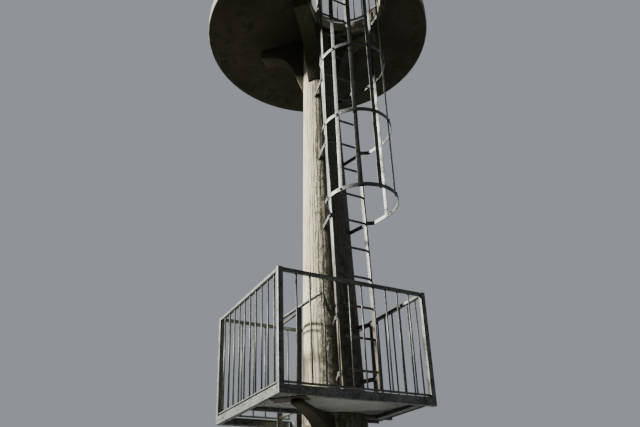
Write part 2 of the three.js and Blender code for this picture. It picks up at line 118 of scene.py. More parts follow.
class Shell:
    # gathers closed shells, and turns them into one object
    def __init__(self):
        self.bm = bmesh.new()

    def sweep(self, section, path, up=(0, 0, 1), closed=False, place=None):
        # carries a section along a path: its u axis lies across, its v axis along up
        up = Vector(up)
        path = [Vector(p) for p in path]
        count = len(path)
        rings = []
        for k, point in enumerate(path):
            into = (point - path[k - 1]).normalized() if closed or k > 0 else None
            out = (path[(k + 1) % count] - point).normalized() if closed or k < count - 1 else None
            into, out = into or out, out or into
            along = (into + out).normalized()
            side = along.cross(up).normalized()
            top = side.cross(along).normalized()
            stretch = 1 / max(0.3, along.dot(into))      # a mitre, but no long spike
            ring = [point + side * u * stretch + top * v for u, v in section]
            if place is not None:
                ring = [place @ p for p in ring]
            rings.append(ring)
        self.grid(rings, closed)

    def grid(self, rings, closed=False):
        made = [[self.bm.verts.new(p) for p in ring] for ring in rings]
        if closed:
            made.append(made[0])
        for a, b in zip(made, made[1:]):
            for j in range(len(a)):
                k = (j + 1) % len(a)
                self.bm.faces.new((a[j], a[k], b[k], b[j]))
        if not closed:
            self.bm.faces.new(made[0])
            self.bm.faces.new(made[-1])

    def bevel(self, width, segments):
        bmesh.ops.recalc_face_normals(self.bm, faces=self.bm.faces)
        sharp = [e for e in self.bm.edges
                 if len(e.link_faces) == 2 and e.calc_face_angle() > math.radians(50)]
        bmesh.ops.bevel(self.bm, geom=sharp, offset=width, segments=segments, profile=0.5,
                        affect="EDGES", clamp_overlap=True)

    def finish(self, name, material, smoothAngle=35):
        bmesh.ops.recalc_face_normals(self.bm, faces=self.bm.faces)
        mesh = bpy.data.meshes.new(name)
        self.bm.to_mesh(mesh)
        self.bm.free()
        mesh.materials.append(material)
        mesh.polygons.foreach_set("use_smooth", [True] * len(mesh.polygons))
        mesh.set_sharp_from_angle(angle=math.radians(smoothAngle))
        return addObject(name, mesh)


def settle(made, slotName, *nodes):
    # the finished piece rides on the tower and stands for its nodes
    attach(made, "root")
    if nodes:
        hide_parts(*nodes)


def pieceName(node):
    first, *others = node.split("_")
    return first + "".join(word.title() for word in others)


def steelPiece(shell, node, smoothAngle=35, name=None):
    settle(shell.finish(name or pieceName(node), galvanised, smoothAngle), "galvanised_steel", node)


# Shader helpers

def addNode(tree, kind, settings=None, inputs=None):
    # the settings come first, because some of them change the sockets
    made = tree.nodes.new(kind)
    for key, value in (settings or {}).items():
        setattr(made, key, value)
    for key, value in (inputs or {}).items():
        if isinstance(value, Value):
            value = value.socket
        if isinstance(value, bpy.types.NodeSocket):
            tree.links.new(value, made.inputs[key])
        else:
            made.inputs[key].default_value = value
    return made


class Value:
    # a number that varies over the surface, with arithmetic
    def __init__(self, paint, socket):
        self.paint = paint
        self.socket = socket

    def combine(self, operation, *values):
        return Value(self.paint, self.paint.node(
            "ShaderNodeMath", {"operation": operation}, dict(enumerate(values))).outputs[0])

    def apply(self, operation, *others):
        return self.combine(operation, self, *others)

    def __add__(self, other):
        return self.apply("ADD", other)

    def __sub__(self, other):
        return self.apply("SUBTRACT", other)

    def __rsub__(self, other):
        return self.combine("SUBTRACT", other, self)

    def __mul__(self, other):
        return self.apply("MULTIPLY", other)

    def __truediv__(self, other):
        return self.apply("DIVIDE", other)

    __radd__ = __add__
    __rmul__ = __mul__

    def clamped(self):
        return self.apply("MINIMUM", 1.0).apply("MAXIMUM", 0.0)

    def step(self, low, high):
        # 0 below low and 1 above high, with a soft change between
        return Value(self.paint, self.paint.node(
            "ShaderNodeMapRange", {"interpolation_type": "SMOOTHSTEP"},
            {"Value": self, "From Min": low, "From Max": high}).outputs[0])


def fromAxis(x, y):
    return (x * x + y * y).apply("SQRT")


class Paint:
    # the nodes of one material, or of the world
    def __init__(self, name, library="materials"):
        self.owner = getattr(bpy.data, library).new(name)
        self.owner.use_nodes = True
        self.tree = self.owner.node_tree
        self.tree.nodes.clear()
        self.position = self.node("ShaderNodeTexCoord").outputs["Object"]

    def node(self, kind, settings=None, inputs=None):
        return addNode(self.tree, kind, settings, inputs)

    def axes(self):
        parts = self.node("ShaderNodeSeparateXYZ", None, {"Vector": self.position}).outputs
        return [Value(self, parts[k]) for k in range(3)]

    def scaled(self, upright, offset=(0, 0, 0)):
        # upright below 1 makes a pattern longer along Z
        return self.node("ShaderNodeVectorMath", {"operation": "MULTIPLY_ADD"},
                         {0: self.position, 1: (1, 1, upright), 2: offset}).outputs[0]

    def noise(self, size, detail, rough, upright=1, offset=(0, 0, 0)):
        # size is the rough width of a patch in metres
        return Value(self, self.node("ShaderNodeTexNoise", None, {
            "Vector": self.scaled(upright, offset), "Scale": 1 / size, "Detail": detail,
            "Roughness": rough}).outputs["Fac"])

    def cells(self, size, output="Distance", upright=1):
        return self.node("ShaderNodeTexVoronoi", None, {
            "Vector": self.scaled(upright), "Scale": 1 / size}).outputs[output]

    def mix(self, factor, first, second):
        as4 = lambda c: (*c, 1) if isinstance(c, tuple) else c
        return self.node("ShaderNodeMix", {"data_type": "RGBA"}, {
            0: factor, 6: as4(first), 7: as4(second)}).outputs[2]

    def layered(self, tones, base, layers):
        # a base tone, and over it each layer's tone where its mask is above 0
        color = tones[base]
        for mask, tone in layers:
            color = self.mix(mask, color, tones[tone])
        return color

    def bump(self, height, distance, strength):
        return self.node("ShaderNodeBump", None, {
            "Height": height, "Distance": distance, "Strength": strength}).outputs[0]

    def surface(self, inputs):
        shader = self.node("ShaderNodeBsdfPrincipled", None, inputs)
        self.node("ShaderNodeOutputMaterial", None, {"Surface": shader.outputs[0]})
        return self.owner


# Finishes

columnFinish = {
    "pale": (0.62, 0.585, 0.44), "sand": (0.50, 0.460, 0.325), "grey": (0.40, 0.392, 0.315),
    "damp": (0.105, 0.110, 0.090), "brown": (0.100, 0.078, 0.052), "lichen": (0.050, 0.056, 0.030),
    "chalk": (0.46, 0.45, 0.39), "seam": (0.085, 0.068, 0.044),
    "dampSide": -52.0,              # degrees, the side of the column that stays damp and is painted darker as painted shade
    "dampFrom": (0.24, 0.54),       # where the damp and the painted shade set in, 1 being the middle of that side
    "edgeFrom": (-0.14, 0.32),      # where the stains beside it set in
    "boards": 42, "boardWobble": 3.2,       # marks of the formwork boards round the column
    "seamFrom": (0.40, 0.48),       # from a board's middle, in boards
    "seamBand": (-0.60, 0.0),       # the seams open wider towards the side painted damp and shaded
    "stainedLow": (1.9, 2.8), "stainedHigh": (3.4, 4.4),        # more lichen near the landing
    "dampFoot": (0.05, 0.55), "pitWidth": 0.020, "relief": 0.008,
}


def makeColumnConcrete():
    s = columnFinish
    p = Paint("columnConcrete")
    x, y, z = p.axes()
    azimuth = y.apply("ARCTAN2", x)
    dampAndShadeFacing = outward(math.radians(s["dampSide"]))
    away = (x * dampAndShadeFacing.x + y * dampAndShadeFacing.y) / fromAxis(x, y)
    ragged = p.noise(0.09, 5, 0.65, 0.12)
    broad = p.noise(0.55, 3, 0.5)
    streaks = p.noise(0.016, 5, 0.7, 0.03)
    frayed = away + (ragged - 0.5) * 0.7
    # partly damp and partly painted shade: the side away from the light is darkened
    damp = (frayed + (broad - 0.5) * 0.3).step(*s["dampFrom"])
    edge = frayed.step(*s["edgeFrom"])
    # the boards of the formwork, each with its tone, and the seams between them
    wobble = (p.noise(0.11, 4, 0.6, 0.10, (2, 2, 2)) - 0.5) * s["boardWobble"]
    board = azimuth * (s["boards"] / (2 * math.pi)) + wobble
    boardTone = Value(p, p.node("ShaderNodeTexWhiteNoise", {"noise_dimensions": "1D"}, {
        "W": board.apply("FLOOR")}).outputs["Value"])
    within = (board.apply("FRACT") - 0.5).apply("ABSOLUTE")
    broken = p.noise(0.018, 4, 0.7, 0.07, (6, 6, 6))
    joint = (within + (broken - 0.5) * 0.22 + away.step(*s["seamBand"]) * 0.12).step(*s["seamFrom"])
    seam = joint * broken.step(0.28, 0.50) * (0.70 + edge * 0.30)
    # stains, lichen, chalk and pits
    run = p.noise(0.028, 6, 0.72, 0.045, (3, 1, 0))
    stained = edge * (1 - damp) * (run + away * 0.14).step(0.47, 0.60) * 0.85
    patch = p.noise(0.045, 6, 0.75, 0.6, (0, 5, 2))
    nearLanding = z.step(*s["stainedLow"]) * (1 - z.step(*s["stainedHigh"]))
    speckled = (away + 0.25).step(0.0, 0.35)
    lichen = (patch + edge * 0.07 + nearLanding * 0.12 - 0.05 * damp).step(0.56, 0.64) * speckled
    chalk = ((p.noise(0.022, 5, 0.7, 0.7, (8, 3, 5)) + nearLanding * 0.08).step(0.60, 0.66)
             * speckled * (1 - damp))
    pitted = p.noise(0.16, 4, 0.6, 0.4, (9, 0, 4)).step(0.48, 0.60) * (0.30 + edge * 0.70) * (1 - damp * 0.6)
    pits = (1 - Value(p, p.cells(s["pitWidth"], upright=0.55)).step(0.16, 0.34)) * pitted
    foot = 1 - (z + (ragged - 0.5) * 0.5).step(*s["dampFoot"])
    color = p.layered(s, "pale", (
        (broad.step(0.35, 0.65), "sand"), ((boardTone - 0.4) * 0.6 + streaks.step(0.42, 0.70) * 0.5, "grey"),
        (seam, "seam"), (stained, "brown"), (damp * 0.94, "damp"), (lichen * 0.85, "lichen"),
        (chalk * 0.7, "chalk"), (pits * 0.8, "brown"), (foot * 0.55, "damp")))
    grain = p.noise(0.004, 3, 0.6)
    height = (streaks * 0.45 + grain * 0.25 - pits * 1.4 - joint * broken.step(0.36, 0.58) * 1.1
              + run * edge * 0.9 + patch * 0.4)
    return p.surface({"Base Color": color, "Roughness": 0.86 + (grain - 0.5) * 0.12 - damp * 0.08,
                      "Specular IOR Level": 0.2, "Normal": p.bump(height, s["relief"], 1.0)})


# painted shade: the head's tones are very dark, standing in for the shade under the disc
headPaintedShadeFinish = {
    "base": (0.040, 0.037, 0.024), "light": (0.062, 0.058, 0.039), "dark": (0.017, 0.016, 0.010),
    "moss": (0.034, 0.038, 0.016), "crust": (0.36, 0.34, 0.28), "rust": (0.16, 0.075, 0.034),
    "rim": (0.24, 0.215, 0.165), "sunny": (0.36, 0.335, 0.26),
}
# painted shade, less on the haunches and more on the corbel under the landing
headPaintedShadeLevels = {"headConcrete": 1.0, "haunchConcrete": 1.9, "corbelConcrete": 0.6}


def makeHeadConcrete(name):
    # the same concrete for the disc, the haunches and the corbel, its tones darkened as painted shade, each
    # part by its own amount
    s = {key: tuple(min(c * headPaintedShadeLevels[name], 0.8) for c in color) for key, color in headPaintedShadeFinish.items()}
    under, top, radius, hatch = (tower[key] for key in ("discUnder", "discTop", "discRadius", "hatchRadius"))
    p = Paint(name)
    x, y, z = p.axes()
    broad = p.noise(0.45, 4, 0.55)
    blotch = p.noise(0.11, 5, 0.65, offset=(2, 7, 1))
    fine = p.noise(0.012, 5, 0.7)
    reach = fromAxis(x, y)
    onDisc = z.step(under - 0.09, under - 0.01)
    # painted shade and light: the underside is darker towards the column and lighter towards the rim
    inner = (1 - (reach + (blotch - 0.5) * 0.5).step(0.30, 0.85)) * 0.62
    outer = (reach + (blotch - 0.5) * 0.10).step(radius - 0.09, radius) * onDisc
    mossy = (blotch + fine * 0.35).step(0.66, 0.80)
    # painted sunlight: the disc's rim and top, which the sun reaches, are painted lighter
    side = reach.step(radius - 0.012, radius - 0.004) * z.step(under - 0.045, under - 0.025)
    sunny = side.apply("MAXIMUM", z.step(top - 0.04, top - 0.01))
    # painted light: the hatch's wall in the pale rim tone, and the crust and rust round it
    rim = fromAxis(x, y - tower["hatchY"])
    hatchWallPaintedLight = ((1 - (rim + (fine - 0.5) * 0.01).step(hatch + 0.004, hatch + 0.018))
            * z.step(under - 0.09, under - 0.04))
    nearRim = (1 - (rim + (fine - 0.5) * 0.06).step(hatch + 0.005, hatch + 0.09)) * onDisc
    crust = nearRim * p.noise(0.05, 5, 0.7, offset=(4, 4, 4)).step(0.45, 0.6)
    rusty = nearRim * p.noise(0.07, 4, 0.7, offset=(1, 9, 3)).step(0.54, 0.66)
    holes = ((1 - Value(p, p.cells(0.030)).step(0.10, 0.24))
             * p.noise(0.2, 3, 0.5, offset=(5, 5, 5)).step(0.5, 0.6))
    color = p.layered(s, "base", (
        (broad.step(0.32, 0.68), "light"), (blotch.step(0.52, 0.72) * 0.6, "dark"), (inner, "dark"),
        (outer * 0.5, "light"), (sunny * (0.85 - blotch.step(0.50, 0.72) * 0.35), "sunny"),
        (mossy * 0.5, "moss"), (hatchWallPaintedLight * 0.85, "rim"), (crust * 0.65, "crust"), (rusty * 0.7, "rust"),
        (holes * 0.6, "dark")))
    return p.surface({"Base Color": color, "Roughness": 0.88 + (fine - 0.5) * 0.15,
                      "Specular IOR Level": 0.2,
                      "Normal": p.bump(fine * 0.6 + blotch * 0.5 - holes * 0.9, 0.004, 0.7)})


steelFinish = {
    "zinc": (0.105, 0.118, 0.108), "dull": (0.046, 0.055, 0.049), "bright": (0.40, 0.415, 0.41),
    "grime": (0.034, 0.036, 0.028), "stain": (0.090, 0.055, 0.033),
    "spangle": 0.011,
    "nearColumn": (0.372, 0.395), "nearColumnLean": 0.0149,     # from the axis, less with height
    "lowFrom": (2.4, 2.7), "lowTo": (3.5, 4.3),     # heights of the ladder's stained part
    "barFoot": 0.0245, "barEdge": 0.0015,       # below the panel's top, where grating bars turn from painted light to painted shade
}


def makeGalvanised(name, grime=0.35, stain=0.25, metal=0.62, lowStain=0.0, barFoot=None):
    # lowStain browns what lies just above the landing, and barFoot is where grating bars turn from painted
    # light on their sides to painted shade on their bottom faces
    s = steelFinish
    p = Paint(name)
    x, y, z = p.axes()
    nearColumn = 1 - (fromAxis(x, y) + z * s["nearColumnLean"]).step(*s["nearColumn"])
    lowPart = (z.step(*s["lowFrom"]) * (1 - z.step(*s["lowTo"]))
               * (1.5 - x.step(-0.1, 0.1) * 0.6)).clamped() * lowStain
    flake = Value(p, p.node("ShaderNodeSeparateColor", None, {
        "Color": p.cells(s["spangle"], "Color")}).outputs[0])
    cloud = p.noise(0.09, 4, 0.6)
    drip = p.noise(0.03, 5, 0.65, 0.12, (7, 2, 0))
    fine = p.noise(0.006, 4, 0.65)
    dirty = (drip + (fine - 0.5) * 0.3).step(0.50, 0.74) * grime
    rusty = p.noise(0.16, 5, 0.7, 0.35, (2, 3, 8)) + (fine - 0.5) * 0.25
    brown = (rusty.step(0.60, 0.72) * stain + (rusty + nearColumn * 0.2).step(0.56, 0.66) * nearColumn * 0.7
             + (rusty + lowPart * 0.1).step(0.50, 0.62) * lowPart).clamped()
    layers = [(cloud.step(0.36, 0.66), "dull"), ((flake - 0.45) * 0.5, "bright"), (dirty, "grime"),
              (brown, "stain")]
    if barFoot is not None:
        # painted light and shade: bar sides above barFoot lighter, their bottom faces below it painted dark
        paintedLitBarSides = z.step(barFoot, barFoot + s["barEdge"])
        layers += [(paintedLitBarSides * 0.55, "bright"), ((1 - paintedLitBarSides) * 0.95, "grime")]
    worn = dirty + brown
    return p.surface({"Base Color": p.layered(s, "zinc", layers), "Metallic": metal - worn * 0.5,
                      "Roughness": 0.44 + (flake - 0.5) * 0.16 + cloud * 0.16 + worn * 0.3,
                      "Normal": p.bump(fine * 0.6 + flake * 0.4, 0.0006, 0.5)})


rustFinish = {"steel": (0.040, 0.038, 0.031), "rust": (0.042, 0.028, 0.018), "orange": (0.085, 0.044, 0.022)}


def makeRustedSteel():
    s = rustFinish
    p = Paint("rustedSteel")
    cloud = p.noise(0.05, 5, 0.7)
    fine = p.noise(0.007, 5, 0.7)
    cover = (cloud + (fine - 0.5) * 0.5).step(0.42, 0.60)
    color = p.layered(s, "steel", ((cover, "rust"), (fine.step(0.55, 0.75) * cover * 0.6, "orange")))
    return p.surface({"Base Color": color, "Metallic": 0.5 - cover * 0.5,
                      "Roughness": 0.6 + cover * 0.3, "Normal": p.bump(fine + cover, 0.0012, 0.6)})


columnConcrete = makeColumnConcrete()
headConcrete, haunchConcrete, corbelConcrete = (makeHeadConcrete(name) for name in headPaintedShadeLevels)
galvanised = makeGalvanised("galvanisedSteel")
ladderSteel = makeGalvanised("ladderSteel", grime=0.9, stain=0.4, metal=0.6, lowStain=0.8)
gratingSteel = makeGalvanised("gratingSteel", grime=0.3, stain=0.15, metal=0.45,
                              barFoot=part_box("floor_grating_front")[1][2] - steelFinish["barFoot"])
boltSteel = makeGalvanised("boltSteel", grime=0.55, stain=0.55, metal=0.5)
rustedSteel = makeRustedSteel()
print("finishes made")


# Geometry Nodes helpers

class Tree:
    # a node tree with named inputs
    def __init__(self, name, **inputs):
        self.group = bpy.data.node_groups.new(name, "GeometryNodeTree")
        for side, sockets in (("INPUT", {"Geometry": "Geometry", **inputs}),
                              ("OUTPUT", {"Geometry": "Geometry"})):
            for key, kind in sockets.items():
                self.group.interface.new_socket(name=key, in_out=side, socket_type="NodeSocket" + kind)
        self.start = self.group.nodes.new("NodeGroupInput")
        self.end = self.group.nodes.new("NodeGroupOutput")

    def __getitem__(self, name):
        # one of the tree's own inputs
        return self.start.outputs[name]

    def node(self, kind, settings=None, inputs=None, output=0):
        return addNode(self.group, kind, settings, inputs).outputs[output]

    def join(self, solids):
        both = self.group.nodes.new("GeometryNodeJoinGeometry")
        for solid in solids:
            self.group.links.new(solid, both.inputs[0])
        return both.outputs[0]

    def cylinder(self, sides, radius, depth):
        return self.node("GeometryNodeMeshCylinder", None, {
            "Vertices": sides, "Radius": radius, "Depth": depth})

    def onPoints(self, points, instance, turn=(0, 0, 0)):
        return self.node("GeometryNodeInstanceOnPoints", None, {
            "Points": points, "Instance": instance, "Rotation": turn})

    def close(self, instances, join=True):
        # realized, given its material, and joined to what came in
        solid = self.node("GeometryNodeRealizeInstances", None, {"Geometry": instances})
        solid = self.node("GeometryNodeSetMaterial", None, {
            "Geometry": solid, "Material": self["Material"]})
        if join:
            solid = self.join((solid, self["Geometry"]))
        self.group.links.new(solid, self.end.inputs[0])
        return self.group


def grow(made, tree, **values):
    # runs a tree on an object, with its inputs set by their identifiers, and keeps the plain mesh
    modifier = made.modifiers.new(tree.name, "NODES")
    modifier.node_group = tree
    for item in tree.interface.items_tree:
        if item.in_out == "INPUT" and item.name in values:
            modifier[item.identifier] = values[item.name]
    graph = bpy.context.evaluated_depsgraph_get()
    mesh = bpy.data.meshes.new_from_object(made.evaluated_get(graph), depsgraph=graph)
    made.modifiers.clear()
    old = made.data
    made.data = mesh
    mesh.name = made.name
    bpy.data.meshes.remove(old)
    for value in values.values():
        if isinstance(value, bpy.types.Object):
            spent = value.data
            bpy.data.objects.remove(value)
            bpy.data.meshes.remove(spent)


def barsAtPointsTree():
    # a smooth round bar at each point of another mesh
    t = Tree("barsAtPoints", Points="Object", Turn="Vector", Radius="Float", Length="Float", Sides="Int",
             Material="Material")
    points = t.node("GeometryNodeObjectInfo", None, {"Object": t["Points"]}, "Geometry")
    bar = t.node("GeometryNodeSetShadeSmooth", None, {
        "Geometry": t.cylinder(t["Sides"], t["Radius"], t["Length"])})
    return t.close(t.onPoints(points, bar, t["Turn"]))


def barsOnLinesTree():
    # a flat upright bar along each straight line of another mesh
    t = Tree("barsOnLines", Lines="Object", Width="Float", Height="Float", Material="Material")
    lines = t.node("GeometryNodeObjectInfo", None, {"Object": t["Lines"]}, "Geometry")
    curve = t.node("GeometryNodeMeshToCurve", None, {"Mesh": lines})
    curve = t.node("GeometryNodeSetCurveNormal", {"mode": "Z_UP"}, {"Curve": curve})
    section = t.node("GeometryNodeCurvePrimitiveQuadrilateral", None, {
        "Width": t["Width"], "Height": t["Height"]})
    return t.close(t.node("GeometryNodeCurveToMesh", None, {
        "Curve": curve, "Profile Curve": section, "Fill Caps": True}))


# sides, then radius, depth and lift in widths of the head
boltParts = {"washer": (16, 0.72, 0.14, 0.0), "nut": (6, 0.55, 0.45, 0.28), "shank": (10, 0.3, 0.5, 0.42)}


def boltTree():
    # a washer, a hexagon head and a bolt's end at each point, square to its facing direction
    t = Tree("bolts", Head="Float", Material="Material")
    facing = t.node("GeometryNodeInputNamedAttribute", {"data_type": "FLOAT_VECTOR"}, {"Name": "facing"})
    turn = t.node("FunctionNodeAlignRotationToVector", {"axis": "Z"}, {"Vector": facing})
    solids = []
    for sides, *sizes in boltParts.values():
        radius, depth, lift = (
            t.node("ShaderNodeMath", {"operation": "MULTIPLY"}, {0: t["Head"], 1: size}) for size in sizes)
        rise = t.node("ShaderNodeCombineXYZ", None, {2: lift})
        solids.append(t.node("GeometryNodeTransform", None, {
            "Geometry": t.cylinder(sides, radius, depth), "Translation": rise}))
    return t.close(t.onPoints(t["Geometry"], t.join(solids), turn), join=False)


barsAtPoints, barsOnLines, boltHeads = barsAtPointsTree(), barsOnLinesTree(), boltTree()


def addBolts(name, places, head=0.018):
    made = meshObject(name, [place for place, _ in places])
    facing = made.data.attributes.new("facing", "FLOAT_VECTOR", "POINT")
    for k, (_, direction) in enumerate(places):
        facing.data[k].vector = Vector(direction).normalized()
    grow(made, boltHeads, Head=head, Material=boltSteel)
    settle(made, "galvanised_steel")


# Column, disc, haunches and corbel

columnParts = {"sides": 144, "rings": 70, "unevenness": 0.0012, "inset": 0.0008, "footChamfer": 0.006,
               "waves": ((3, 1.7), (5, -2.3), (0, 7.0))}      # round the column, and radians a metre up it


def makeColumn():
    s = columnParts
    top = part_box("column")[1][2]
    rings = []
    phase = [random.uniform(0, 6.28) for _ in s["waves"]]
    heights = [0.0, s["footChamfer"]] + [top * k / s["rings"] for k in range(1, s["rings"] + 1)]
    for z in heights:
        ring = []
        for j in range(s["sides"]):
            a = 2 * math.pi * j / s["sides"]
            wave = sum(math.sin(turns * a + start + rise * z)
                       for (turns, rise), start in zip(s["waves"], phase)) / len(phase)
            r = columnRadius(z) - s["inset"] - s["unevenness"] * (0.5 + 0.5 * wave)
            if z == 0:
                r -= s["footChamfer"]
            ring.append(Vector((*polar(r, a), z)))
        rings.append(ring)
    shell = Shell()
    shell.grid(rings)
    settle(shell.finish("towerColumn", columnConcrete), "column_concrete", "column")


discParts = {"sides": 160, "chamfer": 0.010,
             # rings of points, as shares of the way from the hatch to the rim
             "rings": (0.0, 0.06, 0.16, 0.3, 0.45, 0.6, 0.75, 0.87, 0.95, 1.0)}


def makeDisc():
    s = discParts
    low, high, hatchY = tower["discUnder"], tower["discTop"], tower["hatchY"]
    outer, inner, chamfer = tower["discRadius"], tower["hatchRadius"], s["chamfer"]
    soft = chamfer * 0.3

    def ring(centreY, radius, z):
        return [Vector((x, centreY + y, z)) for x, y in circle(radius, s["sides"])]

    def across(z):
        return [ring(hatchY * (1 - share), inner + chamfer + (outer - inner - 2 * chamfer) * share, z)
                for share in s["rings"]]

    rings = across(low)
    rings += [ring(0, outer - soft, low + soft), ring(0, outer, low + chamfer),
              ring(0, outer, high - chamfer), ring(0, outer - soft, high - soft)]
    rings += across(high)[::-1]
    rings += [ring(hatchY, inner + soft, high - soft), ring(hatchY, inner, high - chamfer),
              ring(hatchY, inner, low + chamfer), ring(hatchY, inner + soft, low + soft)]
    shell = Shell()
    shell.grid(rings, closed=True)
    settle(shell.finish("towerDisc", headConcrete), "head_concrete", "platform_disc")


bracketForm = {"core": 0.10, "steps": 24, "softening": 0.014}      # starts inside the column
haunchParts = {"reach": 0.690, "depth": 0.720, "tip": 0.115, "rootWidth": 0.175, "tipWidth": 0.165,
               "footBend": (0.27, 0.55), "tipBend": (0.15, 1.5)}
corbelParts = {"azimuth": 225, "reach": 1.120, "depth": 0.550, "tip": 0.042, "rootWidth": 0.160,
               "tipWidth": 0.080, "footBend": (0.0, 0.268), "tipBend": (0.15, 1.3)}


def concreteBracket(node, material, azimuth, top, reach, depth, tip, rootWidth, tipWidth, footBend, tipBend):
    # a bracket out of the column, with a concave lower edge
    root = columnRadius(top - depth)
    core, steps = bracketForm["core"], bracketForm["steps"]
    outline = [(core, top), (core, top - depth), (root, top - depth)]
    curve = ((root, top - depth), (root + footBend[0] * (reach - root), top - footBend[1] * depth),
             (root + tipBend[0] * (reach - root), top - tipBend[1] * tip), (reach, top - tip))
    for k in range(1, steps + 1):
        u = k / steps
        weights = ((1 - u) ** 3, 3 * (1 - u) ** 2 * u, 3 * (1 - u) * u * u, u ** 3)
        outline.append(tuple(sum(w * c for w, c in zip(weights, values)) for values in zip(*curve)))
    outline.append((reach, top))
    turn = Matrix.Rotation(math.radians(azimuth), 4, "Z")
    rings = []
    for side in (-0.5, 0.5):
        ring = []
        for r, z in outline:
            along = max((r - root) / (reach - root), 0)
            width = rootWidth + (tipWidth - rootWidth) * along
            ring.append(turn @ Vector((r, side * width, z)))
        rings.append(ring)
    shell = Shell()
    shell.grid(rings)
    shell.bevel(bracketForm["softening"], 4)
    settle(shell.finish(pieceName(node), material, 40), "head_concrete", node)


makeColumn()
makeDisc()
for k, side in enumerate(quarters):
    concreteBracket("haunch_" + side, haunchConcrete, 45 + 90 * k, tower["discUnder"] - gap, **haunchParts)
concreteBracket("landing_corbel", corbelConcrete, top=tower["channelBottom"] - tower["plate"], **corbelParts)
print("concrete made")


# Landing frame

frameParts = {"web": 0.006, "flange": 0.008, "fillet": 0.005, "height": 0.068, "width": 0.045,
              "softening": 0.002}


def channelSection():
    # web on the left, flanges to the right, with rolled fillets inside
    s = frameParts
    w, h, web, fl, r, soft = (s[key] for key in ("width", "height", "web", "flange", "fillet", "softening"))
    points = [(0, 0), (w - soft, 0), (w, soft), (w, fl)]
    for start, level in ((270, fl + r), (180, h - fl - r)):
        points += [polar(r, math.radians(start - 90 * k / 3), (web + r, level)) for k in range(4)]
    return points + [(w, h - fl), (w, h - soft), (w - soft, h), (0, h)]


def makeChannel(node, start, end, inward):
    # the web stands outside and the flanges point inward
    start, end = (Vector((*p, tower["channelBottom"])) for p in (start, end))
    side = (end - start).normalized().cross(Vector((0, 0, 1)))
    sign = 1 if side.dot(Vector(inward)) > 0 else -1
    shell = Shell()
    shell.sweep([(sign * u, v) for u, v in channelSection()], [start, end])
    steelPiece(shell, node, 30)


def makeBar(node, radius=0.002, name=None):
    # a straight bar that fills the node's box, along the box's longest side
    low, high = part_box(node)
    size = [b - a for a, b in zip(low, high)]
    axis = size.index(max(size))
    ends = [[(a + b) / 2 for a, b in zip(low, high)] for _ in range(2)]
    ends[0][axis], ends[1][axis] = low[axis], high[axis]
    width, height = (size[k] for k in range(3) if k != axis)
    shell = Shell()
    shell.sweep(roundedRect(width, height, radius), ends, (0, 0, 1) if axis != 2 else (0, 1, 0))
    steelPiece(shell, node, name=name)


makeChannel("front_channel", (leftSide + post, frontSide), (rightSide - post, frontSide), (0, 1, 0))
makeChannel("left_channel", (leftSide, frontSide + post), (leftSide, backSide - post), (1, 0, 0))
makeChannel("back_channel", (leftSide + post, backSide), (tower["backEnd"], backSide), (0, -1, 0))
makeBar("right_edge_bar")
for corner in ("corner", "right", "left", "end"):
    makeBar("landing_post_" + corner, 0.005, corner + "Post")
makeBar("right_end_rail", 0.004)
print("landing frame made")


# Gratings: bearing bars and cross bars in a border, each with its width, depth and drop below the top

gratingParts = {"pitch": 0.0333, "bearing": (0.003, 0.024, 0.001), "cross": (0.0025, 0.016, 0.002),
                "border": 0.004, "clearance": 0.0005, "columnGap": 0.0155, "shortest": 0.02}
columnHole = columnRadius(tower["gratingBottom"]) + gratingParts["columnGap"]


def crossings(outline, axis, value):
    # where a line across the panel enters and leaves its outline
    found = []
    for p, q in zip(outline, outline[1:] + outline[:1]):
        if (p[axis] - value) * (q[axis] - value) < 0:
            share = (value - p[axis]) / (q[axis] - p[axis])
            found.append(p[1 - axis] + (q[1 - axis] - p[1 - axis]) * share)
    found.sort()
    return list(zip(found[::2], found[1::2]))


def makeGrating(side):
    # bearing bars along Y and cross bars along X in a border that follows the panel's outline
    node = "floor_grating_" + side
    outline = panelOutline(node)
    s = gratingParts
    low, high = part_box(node)
    inset = s["border"] / 2
    shell = Shell()
    shell.sweep(roundedRect(s["border"], high[2] - low[2], 0.0008),
                [(x, y, (low[2] + high[2]) / 2) for x, y in outline], closed=True)
    made = shell.finish(side + "Grating", gratingSteel)
    for axis, kind in enumerate(("bearing", "cross")):
        width, depth, drop = s[kind]
        z = high[2] - drop - depth / 2
        span = high[axis] - low[axis]
        count = int((span - s["border"]) / s["pitch"])
        first = low[axis] + (span - (count - 1) * s["pitch"]) / 2
        points = []
        for value in (first + k * s["pitch"] for k in range(count)):
            for start, end in crossings(outline, axis, value):
                if end - start > s["shortest"]:
                    points += [(value, d, z) if axis == 0 else (d, value, z)
                               for d in (start + inset, end - inset)]
        lines = meshObject(kind + "Lines", points, [(k, k + 1) for k in range(0, len(points), 2)])
        grow(made, barsOnLines, Lines=lines, Width=width, Height=depth, Material=gratingSteel)
    settle(made, "grating_steel", node)


def panelOutline(node):
    # the panel's outline, half a border inside it, notched round the posts and the column
    low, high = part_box(node)
    inset = gratingParts["border"] / 2
    x0, y0, x1, y1 = low[0] + inset, low[1] + inset, high[0] - inset, high[1] - inset
    reach = columnHole + inset
    notch = post + gratingParts["clearance"] + inset
    inner, outer = leftSide + notch, rightSide - notch
    roundColumn = lambda *angles: [(p.x, p.y) for p in arcPoints((0, 0), reach, *angles)]
    if node == "floor_grating_front":
        level = frontSide + notch
        half = math.asin(-y1 / reach)
        return ([(inner, y0), (outer, y0), (outer, level), (x1, level), (x1, y1)]
                + roundColumn(-half, half - math.pi, 16) + [(x0, y1), (x0, level), (inner, level)])
    level = tower["rightEnd"] - notch
    return ([(x1, y0), (x1, level), (outer, level), (outer, y1)]
            + roundColumn(math.asin(y1 / reach), math.asin(y0 / reach), 10))


makeGrating("front")
makeGrating("right")
print("gratings made")


# Railings of the landing

